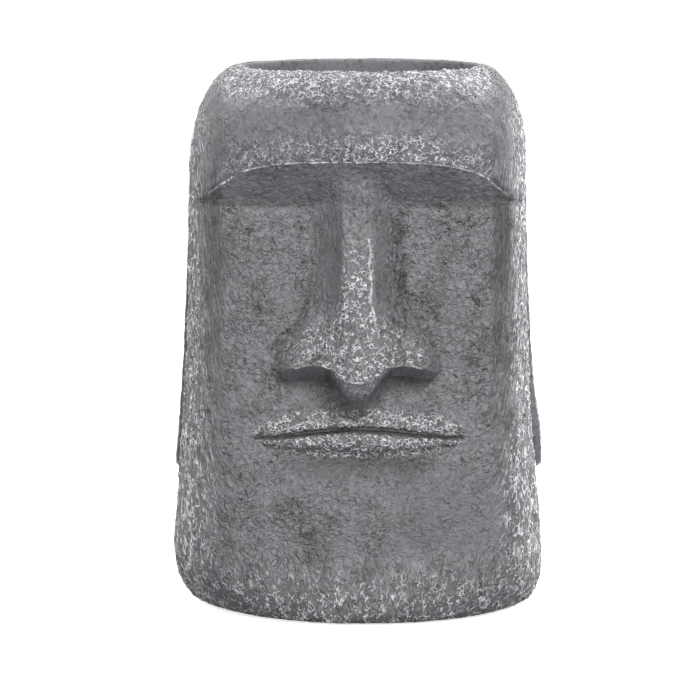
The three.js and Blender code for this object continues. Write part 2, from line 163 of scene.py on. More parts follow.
def copy_of_node(node_name, piece_name):
    """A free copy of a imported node, with its loose triangles merged and paired into quads."""
    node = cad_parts[node_name]
    piece = bpy.data.objects.new(piece_name, node.data.copy())
    piece.data.name = piece_name
    bpy.context.scene.collection.objects.link(piece)
    make_active(piece)
    bpy.ops.object.mode_set(mode="EDIT")
    bpy.ops.mesh.select_all(action="SELECT")
    bpy.ops.mesh.remove_doubles(threshold=MERGE_GAP)
    bpy.ops.mesh.tris_convert_to_quads(face_threshold=math.pi, shape_threshold=math.pi)
    bpy.ops.object.mode_set(mode="OBJECT")
    piece.data.materials.clear()
    return piece


def apply_modifier(piece, kind, **settings):
    make_active(piece)
    modifier = piece.modifiers.new(kind.title(), kind)
    for name, value in settings.items():
        setattr(modifier, name, value)
    bpy.ops.object.modifier_apply(modifier=modifier.name)


def read_vectors(items, name):
    values = np.empty(len(items) * 3, np.float32)
    items.foreach_get(name, values)
    return values.reshape(-1, 3).astype(float)


def write_points(mesh, points):
    mesh.vertices.foreach_set("co", points.astype(np.float32).ravel())
    mesh.update()


def write_field(mesh, name, values):
    """Stores one number at each vertex, which the skin's material reads by its name."""
    field = mesh.attributes.new(name, "FLOAT", "POINT")
    field.data.foreach_set("value", np.asarray(values, np.float32))


# ---- Edges: which are creased, which are worn pale and which take painted shade ----
def fold_of(edge):
    """An edge's fold in degrees, positive when convex, its middle in millimetres from the origin, and how
    far it leans, from 0 when level to 1 when upright."""
    start, end = (v.co for v in edge.verts)
    lean = abs(start.z - end.z) / max(edge.calc_length(), 0.001 * MM)
    return math.degrees(edge.calc_face_angle_signed(0)), (start + end) / (2 * MM), lean


def mouth_line(x):
    """Height of the line between the lips."""
    share = np.clip(np.abs(x - MOUTH_X) / MOUTH_HALF, 0, 1)
    return MOUTH_Z - MOUTH_CORNER_DROP * (1 - (1 - share**2) ** 2)


def on_brow(fold, at, lean):
    at_height = EYE_Z < at.z < BROW_Z + 4
    return fold > BROW_FOLD and lean < 0.8 and at_height and at.y < -60 and abs(at.x) < 98


def shows_wear(fold, at, lean):
    """The convex edges that the pale coat has worn along: not the upright corners, nor inside the mouth."""
    x = at.x - AXIS_X
    upright = lean > 0.4 and at.y < -50
    in_mouth = abs(x - MOUTH_X) < MOUTH_HALF + 8 and -20 < at.z - mouth_line(x) < 6
    under_nose = at.y < -60 and (160 < at.z < 185 or 50 < abs(at.x) < 75 and at.z < 220)
    brow = EYE_Z < at.z < BROW_Z + 4 and at.y < -50
    back_rim = at.z > 400 and at.y > 30
    return fold > SHARP_FOLD and at.z > 4 and not (upright or in_mouth or under_nose or brow or back_rim)


def holds_crease_shade(fold, at, lean):
    """The concave edges that take painted shade, apart from those in the ears, about the mouth and where the
    nose meets the brow.
    """
    under_brow = at.z > EYE_Z - 8 and abs(at.x) < 40
    about_mouth = 118 < at.z < 186 and abs(at.x) < 84
    in_ear = abs(at.y - AXIS_Y) < 18
    return fold < -SHARP_FOLD and at.z > 20 and not (in_ear or at.y < -60 and (under_brow or about_mouth))


def edge_points(mesh, keeps):
    """Points along the edges that pass a test of what fold_of tells of them."""
    shape = bmesh.new()
    shape.from_mesh(mesh)
    points = []
    for edge in shape.edges:
        if len(edge.link_faces) == 2 and keeps(*fold_of(edge)):
            start, end = (v.co for v in edge.verts)
            steps = max(1, round(edge.calc_length() / MARK_SPACING))
            points += [start.lerp(end, (i + 0.5) / steps) for i in range(steps)]
    shape.free()
    return points


def crease_folds(mesh):
    """Keeps the brow and the ears' steps crisp, and the lips and the nose's wings a little less so."""
    shape = bmesh.new()
    shape.from_mesh(mesh)
    crease = shape.edges.layers.float.new("crease_edge")
    for edge in shape.edges:
        fold, at, lean = fold_of(edge)
        if on_brow(fold, at, lean):
            edge[crease] = BROW_CREASE
        elif abs(fold) > SHARP_FOLD and at.y < 0 and lean < 0.6 and abs(at.x) < 90:
            edge[crease] = FACE_CREASE
        elif abs(fold) > SHARP_FOLD and at.y > -40 and at.z < EYE_Z + 20:
            edge[crease] = EAR_CREASE
    shape.to_mesh(mesh)
    shape.free()


def soften(piece, shares):
    """Smooths the mesh by a share at each vertex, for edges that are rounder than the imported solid's."""
    group = piece.vertex_groups.new(name="soften")
    for i, share in enumerate(shares):
        if share > 0.01:
            group.add([i], float(share), "REPLACE")
    apply_modifier(piece, "SMOOTH", factor=0.5, iterations=SOFTEN_ROUNDS, vertex_group="soften")
    piece.vertex_groups.clear()


# ---- Marks laid on the surface ----
def surface_of(mesh):
    shape = bmesh.new()
    shape.from_mesh(mesh)
    surface = BVHTree.FromBMesh(shape)
    shape.free()
    return surface


def face_point(surface, x, z):
    """The point on the front of the head at x and z, or None beside it."""
    return surface.ray_cast(Vector((x + AXIS_X, -400, z)) * MM, Vector((0, 1, 0)))[0]


def on_face(run, surface):
    """Lays a run of x, z points on the front of the head, two or more to each millimetre."""
    found = []
    for (x0, z0), (x1, z1) in zip(run, run[1:]):
        steps = max(2, round(2 * math.hypot(x1 - x0, z1 - z0)))
        shares = [i / steps for i in range(steps + 1)]
        found += [face_point(surface, x0 + (x1 - x0) * share, z0 + (z1 - z0) * share) for share in shares]
    return [point for point in found if point is not None]


def brow_run(surface):
    """Points along the brow's lower edge: at each x, the place above the nose and the eye line that
    reaches furthest forward and down, evened out along the brow."""
    found = []
    for x in np.arange(-BROW_HALF, BROW_HALF, 0.5):
        low = EYE_Z if abs(x) > 42 else BROW_Z - 8
        column = [face_point(surface, x, z) for z in np.arange(low, BROW_Z + 4, 0.5)]
        found.append(max(column, key=lambda point: -0.87 * point.y - 0.5 * point.z))
    reach = 9
    middles = range(reach, len(found) - reach)
    return [sum(found[i - reach:i + reach + 1], Vector()) / (2 * reach + 1) for i in middles]


def lip_run():
    """The upper lip's upper edge, as a run of x, z points from near one corner of the mouth to the other."""
    xs = np.arange(-66, 66, 1.0)
    dip = 6 * bell((xs - 1) / 7)
    rise = LIP_RISE * (1 - np.abs(xs) / MOUTH_HALF) ** 0.8 - dip
    return list(zip(xs + MOUTH_X, mouth_line(xs + MOUTH_X) + rise))


def distances(points, marks, surface):
    """How far each point lies, in millimetres, from the nearest mark once that is laid on the surface."""
    tree = KDTree(len(marks))
    for i, mark in enumerate(marks):
        tree.insert(surface.find_nearest(mark)[0], i)
    tree.balance()
    return np.array([tree.find(p)[2] for p in points]) / MM


# ---- The head's regions ----
class Places:
    """Where each vertex lies on the head: which way it faces, and how far it is in each of the head's
    regions, from 0 to 1."""

    def __init__(self, mesh):
        points = read_vectors(mesh.vertices, "co") / MM
        self.normals = read_vectors(mesh.vertex_normals, "vector")
        self.x = points[:, 0] - AXIS_X
        self.y = points[:, 1] - AXIS_Y
        self.z = points[:, 2]
        self.aside = np.abs(self.x)
        self.out = np.hypot(self.x, self.y) + 1e-6
        self.mouth_rise = self.z - mouth_line(self.x)
        self.from_mouth = np.abs(self.x - MOUTH_X)
        self.inside = np.maximum(self.pot_wall(), self.pot_floor())
        self.underside = smooth(1.5, 0.3, self.z)
        self.outside = (1 - self.inside) * (1 - self.underside)
        self.ahead = smooth(0.1, 0.45, -self.normals[:, 1]) * smooth(*FACE_Y, self.y) * (1 - self.inside)
        self.down = smooth(-0.2, -0.5, self.normals[:, 2])

    def pot_wall(self):
        facing_out = (self.normals[:, 0] * self.x + self.normals[:, 1] * self.y) / self.out
        return smooth(-0.05, -0.35, facing_out) * smooth(POT_FLOOR_Z - 2, POT_FLOOR_Z + 2, self.z)

    def pot_floor(self):
        """The floor inside, with the curve that joins it to the wall."""
        return smooth(0.3, 0.6, self.normals[:, 2]) * smooth(60, 40, self.z) * smooth(125, 110, self.out)

    def round_edges(self):
        """Where the hand-worn casting is rounder than its solid: the nose's ridge and tip, and the face's
        upright corners."""
        ridge = smooth(*RIDGE_SIDE, self.aside) * between(RIDGE_FOOT, RIDGE_TOP, self.z)
        ridge *= 0.55 * (1 - 0.6 * smooth(262, 296, self.z))
        tip = smooth(*TIP_SIDE, self.aside) * between(TIP_FOOT, TIP_TOP, self.z)
        corners = smooth(*CORNER_SIDE, self.aside) * between(CORNER_FOOT, CORNER_TOP, self.z)
        corners *= 0.35 + 0.65 * smooth(326, 314, self.z)
        rounded = np.maximum.reduce([ridge, tip, corners])
        return rounded * smooth(*WORN_FACE_Y, self.y) * (1 - self.inside)

    def mouth_corners(self, lift):
        """The mouth's two ends, at a height above its line."""
        away = np.hypot(self.from_mouth - MOUTH_HALF + CORNER_INSET, self.mouth_rise - lift)
        return bell(away / CORNER_RADIUS)

    def mouth_groove(self):
        """The band between the lips, wider above the line than below it, and its corners: painted shadow and
        dirt.
        """
        share = self.from_mouth / (MOUTH_HALF + 1)
        above = 4.0 * (1 - 0.7 * np.clip(share, 0, 1) ** 3)
        band = smooth(above + 0.9, above - 0.9, self.mouth_rise) * smooth(-2.2, -0.8, self.mouth_rise)
        band *= smooth(1.03, 0.99, share)
        return np.maximum(band, self.mouth_corners(0.5)) * smooth(*MOUTH_Y, self.y) * (1 - self.inside)

    def rugged(self):
        """The rough skin of the cheeks, most of all in the valleys beside the nose, and a patch of the
        chin."""
        valleys = np.maximum(bell((self.x - 31) / 9), 0.45 * bell((self.x + 41) / 7))
        valleys *= between(VALLEY_FOOT, VALLEY_TOP, self.z)
        chin = 0.4 * bell((self.x + 46) / 34) * bell((self.z - 84) / 32)
        cheeks = smooth(*CHEEK_SIDE, self.aside) * between(CHEEK_FOOT, CHEEK_TOP, self.z)
        cheeks *= np.where(self.x > 0, 0.45, 0.3)
        return np.maximum.reduce([valleys, chin, cheeks]) * self.ahead

    def nose(self):
        """The nose's worn skin: the ridge alone high up, and all of the wings low down."""
        centre = 1.5 - 4 * smooth(280, 235, self.z)
        half = 11 + 43 * smooth(250, 208, self.z)
        across = smooth(half + 4, half - 4, np.abs(self.x - centre))
        beside_tip = smooth(8, 18, self.aside)
        bare_wings = np.where(self.x < 0, 0.6, 0.35) * smooth(26, 44, self.aside)
        across *= (1 - bare_wings) * (1 - self.down * (0.6 + 0.4 * beside_tip))
        low = 172 + 25 * beside_tip
        return across * smooth(305, 262, self.z) * smooth(low, low + 9, self.z) * self.ahead

    def nose_flanks(self):
        flanks = smooth(9, 14, np.abs(self.x - 1)) * smooth(*FLANK_SIDE, self.aside)
        return flanks * between(FLANK_FOOT, FLANK_TOP, self.z) * self.ahead

    def lips(self):
        out = np.hypot((self.x - MOUTH_X) / (MOUTH_HALF + 4), (self.z - MOUTH_Z + 3) / 19)
        return smooth(1.03, 0.92, out) * self.ahead * (1 - self.mouth_groove())

    def under_lip(self):
        return bell((self.z - UNDER_LIP_Z) / 8) * smooth(66, 40, self.aside) * self.ahead

    def brow_underside(self):
        return self.down * between((EYE_Z - 6, EYE_Z), (BROW_Z + 4, BROW_Z - 2), self.z) * self.ahead

    def brow_front(self, brow_gap):
        """The worn skin over the brow's edge, most of it to the right of the nose."""
        patch = 0.35 + 0.65 * bell((self.x - 25) / 55)
        return smooth(30, 4, brow_gap) * smooth(-0.35, -0.1, self.normals[:, 2]) * patch * self.ahead

    def plain(self):
        """The smoother skin of the forehead and of the right of the chin."""
        forehead = between(FOREHEAD_FOOT, FOREHEAD_TOP, self.z)
        chin = smooth(10, 36, self.x) * between(CHIN_FOOT, CHIN_TOP, self.z)
        return np.maximum(forehead, chin) * self.ahead

    def sides(self):
        return smooth(*BLOCK_SIDE, self.aside) * self.outside

    def front_corner(self):
        return smooth(*FRONT_CORNER_Y, self.y)

    def ears(self):
        """The long slabs on the sides, which are smoother than the rest."""
        slab = between(EAR_FOOT, EAR_TOP, self.z) * smooth(*EAR_Y, np.abs(self.y))
        return slab * smooth(*EAR_SIDE, self.aside) * self.outside

    def behind(self):
        return smooth(*BACK_Y, self.y) * self.outside

    def foot_band(self):
        return smooth(*FOOT_TOP, self.z) * self.outside

    def crown(self):
        return smooth(*CROWN_FOOT, self.z) * smooth(*CROWN_BACK_Y, self.y) * self.outside


def skin_fields(mesh, places, gaps):
    """The fields that the relief and the stone's material read, each from 0 to 1, and gaps in millimetres."""
    brow = places.brow_front(gaps["brow"])
    crackle = np.maximum.reduce([
        places.nose(),
        places.lips(),
        brow,
        0.8 * places.foot_band(),
        0.8 * places.crown(),
        places.sides() * (0.25 + 0.6 * places.front_corner()) * (1 - places.ears()),
    ])
    calm = np.maximum.reduce([
        places.inside,
        places.underside,
        0.55 * places.brow_underside(),
        0.7 * places.nose_flanks(),
        0.6 * places.under_lip(),
        0.85 * places.down * places.ahead * smooth(EYE_Z - 10, EYE_Z - 20, places.z),
        0.75 * places.ears(),
        0.5 * places.plain(),
    ])
    low_skin = smooth(*UPRIGHT_SKIN_TOP, places.z) * places.outside
    # Painted shade on the forehead and the right of the chin, deeper on the left of the forehead.
    plain_shade = places.plain() * (0.06 + 0.1 * smooth(0, -70, places.x))
    fields = {
        "crackle": crackle * (1 - places.inside),
        "dense": np.maximum.reduce([places.lips(), 0.3 * places.crown(), 0.4 * brow]),
        "calm": calm,
        "rugged": places.rugged(),
        "pitted": places.outside * (1 - calm) * (1 - crackle) * (0.55 + 0.75 * places.rugged()),
        "upright": np.maximum.reduce([places.sides(), low_skin, 0.8 * places.behind()]),
        "inside": places.inside,
        "behind": places.behind(),
        # Where the material paints shadow and dirt in the mouth's band and corners.
        "mouth": places.mouth_groove(),
        # Painted shade on the nose's flanks, in the hollow under the lower lip and on the plain skin.
        "painted_shade": np.maximum.reduce([0.2 * places.nose_flanks(), 0.3 * places.under_lip(), plain_shade]),
        # Painted contact shadow along the bottom of the outside.
        "foot": smooth(*FOOT_SHADOW_TOP, places.z) * places.outside,
        # Painted light that brightens the face below the eye line, away from the calm skin.
        "painted_light_lower_face": places.ahead * smooth(EYE_Z + 6, EYE_Z - 6, places.z) * (1 - calm),
    }
    for name, values in fields.items():
        write_field(mesh, name, values)
    for name in ("edge", "fold", "scar"):
        write_field(mesh, name + "_gap", np.minimum(gaps[name], GAP_LIMIT))


# ---- Relief ----
def uneven_casting(points, places, skin):
    """How far the casting rises, in millimetres: broad lumps, and upright wrinkles at the sides and foot."""
    lumps = np.array([
        noise.noise(Vector(p) * LUMP_WAVES) + 0.5 * noise.noise(Vector(p) * SMALL_LUMP_WAVES) for p in points
    ])
    folds = np.array([noise.noise(Vector(p * WRINKLE_SQUEEZE) * WRINKLE_WAVES) for p in points])
    outside = places.outside * (1 - 0.6 * places.down)
    wrinkled = np.maximum(places.sides(), 0.7 * places.foot_band()) * (1 - 0.8 * places.ears())
    wrinkles = (0.5 - 2 * np.abs(folds)) * wrinkled * outside
    return (skin.lump_depth * 0.8 * lumps * (0.25 + 0.75 * outside) + skin.wrinkle_depth * wrinkles) / MM


def mouth_cut(places):
    """How far back the mouth is cut, in millimetres: a band above its line, whose own narrow groove is
    filled, and the two corners."""
    rise = places.mouth_rise
    within = smooth(MOUTH_HALF + 6, MOUTH_HALF - 6, places.from_mouth)
    band = smooth(5.5, 3.7, rise) * smooth(-2.0, -1.0, rise)
    slit = within * (BAND_DEPTH * band - GROOVE_DEPTH * bell(rise / GROOVE_WIDTH))
    return places.ahead * (slit + CORNER_DEPTH * places.mouth_corners(0))


def hand_relief(mesh, places, gaps, skin):
    """Moves the mesh by the unevenness of a hand-made casting, the scars, the hollow under the lower lip
    and the cut of the mouth."""
    points = read_vectors(mesh.vertices, "co")
    lift = uneven_casting(points, places, skin)
    lift -= SCAR_DEPTH * bell(gaps["scar"] / SCAR_WIDTH) + UNDER_LIP_DEPTH * places.under_lip()
    lift *= smooth(0, 6, places.z)
    points += places.normals * lift[:, None] * MM
    points[:, 1] += mouth_cut(places) * MM
    write_points(mesh, points)


# ---- Nodes, written as expressions ----
class Amount:
    """A number socket in a node tree, which adds Math nodes when it is used in an expression."""

    def __init__(self, nodes, socket):
        self.nodes = nodes
        self.socket = socket

    def math(self, operation, *others):
        return self.nodes.add("ShaderNodeMath", {"operation": operation}, dict(enumerate(others)))

    def __add__(self, other):
        return self.math("ADD", self, other)

    def __sub__(self, other):
        return self.math("SUBTRACT", self, other)

    def __rsub__(self, other):
        return self.math("SUBTRACT", other, self)

    def __mul__(self, other):
        return self.math("MULTIPLY", self, other)

    def __abs__(self):
        return self.math("ABSOLUTE", self)

    __radd__ = __add__
    __rmul__ = __mul__

    def larger(self, other):
        return self.math("MAXIMUM", self, other)

    def smooth(self, low, high):
        """Runs softly from 0 at low to 1 at high, which may lie either way round."""
        if low > high:
            return 1 - self.smooth(high, low)
        sockets = {"Value": self, "From Min": low, "From Max": high}
        return self.nodes.add("ShaderNodeMapRange", {"interpolation_type": "SMOOTHSTEP"}, sockets)


class NodeBook:
    """Adds nodes to one tree, of a material, a world or geometry nodes."""

    def __init__(self, tree):
        self.tree = tree
        tree.nodes.clear()

    def add(self, kind, settings=None, sockets=None, output=0):
        node = self.tree.nodes.new(kind)
        for name, value in (settings or {}).items():
            setattr(node, name, value)
        for name, value in (sockets or {}).items():
            if isinstance(value, Amount):
                self.tree.links.new(value.socket, node.inputs[name])
            else:
                node.inputs[name].default_value = value
        return Amount(self, node.outputs[output]) if node.outputs else None

    def field(self, name):
        """One of the numbers that the mesh holds at its vertices."""
        if self.tree.type == "GEOMETRY":
            return self.add("GeometryNodeInputNamedAttribute", {"data_type": "FLOAT"}, {"Name": name})
        return self.add("ShaderNodeAttribute", {"attribute_name": name}, output="Fac")

    def position(self):
        if self.tree.type == "GEOMETRY":
            return self.add("GeometryNodeInputPosition")
        return self.add("ShaderNodeTexCoord", output="Object")

    def moved(self, vector, operation, *others):
        sockets = dict(enumerate((vector, *others)))
        return self.add("ShaderNodeVectorMath", {"operation": operation}, sockets)

    def noise(self, vector, size, detail=1.0, roughness=0.5, distortion=0.0, output=0):
        """Soft noise whose lumps are about size across, in metres."""
        sockets = {"Vector": vector, "Scale": 1 / size, "Detail": detail, "Roughness": roughness}
        sockets["Distortion"] = distortion
        return self.add("ShaderNodeTexNoise", {}, sockets, output)

    def cell_gap(self, vector, size):
        """Distance to the nearest border between cells that are size across, as a share of that size."""
        sockets = {"Vector": vector, "Scale": 1 / size}
        return self.add("ShaderNodeTexVoronoi", {"feature": "DISTANCE_TO_EDGE"}, sockets, "Distance")

    def tint(self, share, under, over):
        """A share of one colour laid over another, which is a colour or an earlier tint."""
        if not isinstance(under, Amount):
            under = (*under, 1)
        settings = {"data_type": "RGBA", "clamp_factor": True}
        return self.add("ShaderNodeMix", settings, {0: share, 6: under, 7: (*over, 1)}, 2)


# ---- The fine skin, the same in the mesh and in the material ----
def curls(book, where, size, width):
    """Thin worm-like lines that wander about size apart."""
    middle = abs(book.noise(where, size, 0.7, 0.45, 0.8) - 0.5)
    return middle.smooth(width, 0.3 * width)


def crackle_lines(book, where, skin):
    """Broken curly lines, some of them along the borders of small cells that lie in clusters."""
    cluster = book.noise(where, CLUSTER_SIZE, 1.0) + 0.08 * book.field("dense")
    cells = book.cell_gap(where, skin.cell_size).smooth(0.16, 0.05) * cluster.smooth(0.47, 0.54)
    return cells.larger(curls(book, where, 1.7 * skin.cell_size, 0.03) * 0.6)


def skin_pattern_place(book, point):
    """The point that the skin's patterns are read at: swayed, and drawn out along z on the upright skin."""
    sway = book.moved(book.noise(point, SWAY_SIZE, 2.0, output="Color"), "SUBTRACT", (0.5, 0.5, 0.5))
    swayed = book.moved(sway, "MULTIPLY_ADD", (SWAY_REACH, SWAY_REACH, SWAY_REACH), point)
    drawn_out = book.moved(swayed, "MULTIPLY_ADD", UPRIGHT_SQUEEZE, UPRIGHT_SHIFT)
    sockets = {0: book.field("upright"), 4: swayed, 5: drawn_out}
    return book.add("ShaderNodeMix", {"data_type": "VECTOR"}, sockets, 1)


def skin_height(book, point, skin):
    """The fine relief, in millimetres, and the lines and pits in it that take the pale coat and the dirt."""
    where = skin_pattern_place(book, point)
    patchy = book.noise(point, PATCH_SIZE, 1.5).smooth(0.36, 0.62)
    rough = (1 - 0.8 * book.field("calm")) * (0.55 + 0.45 * patchy) + book.field("rugged")
    lines = crackle_lines(book, where, skin)
    folds = curls(book, where, 1.1 * skin.cell_size, 0.16)
    bumps = book.noise(where, BUMP_SIZE, 1.0) - 0.5
    pits = book.noise(where, PIT_SPACING, 0.4, 0.4, 1.6).smooth(0.63, 0.70)
    pits = pits * book.field("pitted") * patchy
    raised = lines * book.field("crackle") * (skin.crackle_depth / MM)
    peel = (folds * 0.6 + bumps * 1.4) * rough * (skin.peel_depth / MM)
    return raised + peel - pits * (skin.pit_depth / MM), lines, pits


def lay_fine_relief(piece, skin):
    """Moves the fine mesh by the same relief that the material draws, so that the two stay in step."""
    tree = bpy.data.node_groups.new("fine_relief", "GeometryNodeTree")
    tree.interface.new_socket("Geometry", in_out="INPUT", socket_type="NodeSocketGeometry")
    tree.interface.new_socket("Geometry", in_out="OUTPUT", socket_type="NodeSocketGeometry")
    book = NodeBook(tree)
    height, _, _ = skin_height(book, book.position(), skin)
    keep_foot = book.add("ShaderNodeSeparateXYZ", {}, {0: book.position()}, "Z").smooth(0.0, 0.004)
    lift = height * keep_foot * (1 - 0.7 * book.field("behind")) * MM
    way = book.add("GeometryNodeInputNormal")
    offset = book.add("ShaderNodeVectorMath", {"operation": "SCALE"}, {0: way, "Scale": lift})
    came_in = book.add("NodeGroupInput")
    shifted = book.add("GeometryNodeSetPosition", {}, {"Geometry": came_in, "Offset": offset})
    book.add("NodeGroupOutput", {}, {0: shifted})
    make_active(piece)
    modifier = piece.modifiers.new("Fine relief", "NODES")
    modifier.node_group = tree
    bpy.ops.object.modifier_apply(modifier=modifier.name)


# ---- The stone ----
# Noise gathers about 0.5, so the pairs given to smooth here and above choose how much of the skin is taken.
def stone_body(book, point, grain, skin):
    """The clean stone: clouds, fine grains and a close mottle, with painted light on the lower face, and
    lighter in the pot.
    """
    clouds = book.noise(point, CLOUD_SIZE, 3.0, 0.6)
    mottle = book.noise(point, MOTTLE_SIZE, 3.0, 0.65)
    # Painted light on the lower face, and lighter inside the pot.
    face_light_and_pale_pot = (book.field("painted_light_lower_face") * 0.6).larger(book.field("inside") * 0.35)
    tone = book.tint(clouds.smooth(0.35, 0.65), skin.stone_dark, skin.stone_light)
    tone = book.tint(grain.smooth(0.3, 0.7) * 0.35, tone, skin.stone_grain)
    tone = book.tint(face_light_and_pale_pot, tone, skin.stone_grain)
    tone = book.tint(mottle.smooth(0.48, 0.30) * 0.5, tone, skin.dirt_and_shade)
    return book.tint(mottle.smooth(0.52, 0.70) * 0.5, tone, skin.stone_grain)


def shade_and_dirt_share(book, point, grain):
    """Where the dark colour lies: painted shade in the folds, on the nose's flanks, under the lower lip and
    on the plain skin, painted shadow and dirt in the mouth, painted contact shadow at the foot, dark scars
    and dark blotches in the roughest skin.
    """
    blotchy = book.noise(point, BLOTCH_SIZE, 2.0).smooth(0.42, 0.62)
    # Painted shade along the concave folds, broken into blotches.
    folds = book.field("fold_gap").smooth(4.0, 0.3) * (1 - book.field("inside")) * (0.45 + 0.55 * blotchy)
    scars = (book.field("scar_gap") + (grain - 0.5) * 1.6).smooth(1.1, 0.2)
    roughest = book.field("rugged").smooth(0.4, 0.9) * blotchy
    darkening = (folds * 0.55).larger(scars).larger(roughest * 0.55).larger(book.field("painted_shade"))
    # Painted shadow and dirt in the mouth's band, and a painted contact shadow along the foot.
    return darkening.larger(book.field("mouth") * 0.62).larger(book.field("foot") * 0.75)


def pale_share(book, point, lines):
    """Where the pale coat shows: on the lines of the crackle, and raggedly along the worn edges."""
    broken = book.noise(point, BROKEN_SIZE, 2.0, 0.6).smooth(0.38, 0.60)
    ragged = book.field("edge_gap") + (book.noise(point, RAGGED_SIZE, 1.0) - 0.5) * 2.2
    edges = ragged.smooth(1.0, 0.2) * (1 - book.field("inside") * 0.6) * (0.5 + 0.5 * broken)
    return (lines * book.field("crackle") * (0.8 + 0.2 * broken)).larger(edges)


def stone_material(skin):
    """Grey cast stone: mottled, with a pale worn coat on its high lines and edges, painted shade in its folds
    and painted light on its lower face.
    """
    material = bpy.data.materials.new("weathered_cast_stone")
    material.use_nodes = True
    book = NodeBook(material.node_tree)
    point = book.position()
    height, lines, pits = skin_height(book, point, skin)
    grain = book.noise(point, GRAIN_SIZE, 2.0, 0.6)
    stained = book.noise(point, STAIN_SIZE, 2.0).smooth(0.5, 0.72) * book.field("pitted")
    pale = pale_share(book, point, lines)

    tone = stone_body(book, point, grain, skin)
    tone = book.tint(stained * 0.5, tone, skin.stain)
    tone = book.tint(pits * 0.75, tone, skin.dirt_and_shade)
    # Painted shade and shadow in the folds, mouth and foot, with dirt and dark scars.
    tone = book.tint(shade_and_dirt_share(book, point, grain), tone, skin.dirt_and_shade)
    tone = book.tint(book.field("crackle") * (1 - lines) * 0.2, tone, skin.dirt_and_shade)
    tone = book.tint(pale, tone, skin.worn_coat)

    drawn = {"Strength": 1.0, "Distance": 1.5 * MM, "Height": height + (grain - 0.5) * 0.2}
    sockets = {
        "Base Color": tone,
        "Roughness": 0.92 - 0.12 * pale,
        "Normal": book.add("ShaderNodeBump", {}, drawn),
        "Specular IOR Level": 0.35,
    }
    shader = book.add("ShaderNodeBsdfPrincipled", {}, sockets)
    book.add("ShaderNodeOutputMaterial", {"target": "ALL"}, {"Surface": shader})
    return material


# ---- Settings ----
def length_setting(name, description, default):
    return FloatProperty(name=name, description=description, default=default, unit="LENGTH", precision=5)


def colour_setting(name, description, default):
    return FloatVectorProperty(
        name=name, description=description, default=default, subtype="COLOR", size=3, min=0, max=1
    )


def power_setting(name, description, default):
    return FloatProperty(name=name, description=description, default=default, unit="POWER")


def angle_setting(name, description, degrees):
    return FloatProperty(name=name, description=description, default=math.radians(degrees), unit="ROTATION")


class PlanterSkin(bpy.types.PropertyGroup):
    """Sizes and colours of the casting's skin."""

    lump_depth: length_setting("Lump depth", "How far the broad hand-made lumps rise and fall", 0.0009)
    wrinkle_depth: length_setting("Wrinkle depth", "Depth of the upright wrinkles at the corners", 0.0011)
    crackle_depth: length_setting("Crackle depth", "Height of the curly lines on the worn skin", 0.0010)
    cell_size: length_setting("Crackle cell", "Distance between the curly lines", 0.0032)
    peel_depth: length_setting("Peel depth", "Depth of the fine uneven skin", 0.0015)
    pit_depth: length_setting("Pit depth", "Depth of the small scattered pits", 0.0008)
    stone_dark: colour_setting("Dark stone", "The darker clouds of the stone", (0.146, 0.147, 0.160))
    stone_light: colour_setting("Light stone", "The lighter clouds of the stone", (0.203, 0.205, 0.221))
    stone_grain: colour_setting("Grain", "Fine sandy grains in the surface", (0.29, 0.29, 0.30))
    stain: colour_setting("Stain", "Earthy patches on the cheeks and chin", (0.135, 0.122, 0.108))
    # The dark colour: painted shade in the folds, on the nose's flanks and under the lower lip, painted
    # shadow in the mouth and at the foot, and dirt, dark pits, scars and mottle, and the darker skin between
    # the crackle's lines.
    dirt_and_shade: colour_setting("Dirt", "Dirt in the pits, folds and scars", (0.045, 0.041, 0.038))
    worn_coat: colour_setting("Worn coat", "The pale coat on high lines and edges", (0.94, 0.95, 0.97))


class PlanterStudio(bpy.types.PropertyGroup):
    """The floor, lights and camera round the planter."""

    floor_size: length_setting("Floor size", "Width of the square floor", 12.0)
    floor_colour: colour_setting("Floor colour", "The pale floor", (0.8, 0.8, 0.8))
    key_power: power_setting("Key light", "Power of the soft lights in front and above", 36)
    left_power: power_setting("Left light", "Power of the light on the left side", 26)
    right_power: power_setting("Right light", "Power of the light on the right side", 44)
    sky: FloatProperty(name="Sky", description="Strength of the light from all round", default=0.37, min=0)
    camera_height: length_setting("Camera height", "How high the camera stands", 0.5496)
    camera_distance: length_setting("Camera distance", "How far it stands from the head's axis", 2.2)
    camera_dip: angle_setting("Camera dip", "How far it looks down", 9.0329)
    camera_turn: angle_setting("Camera turn", "How far it looks to the left", 0.353)
    camera_lens: FloatProperty(name="Lens", description="Focal length in millimetres", default=150.3, min=20)


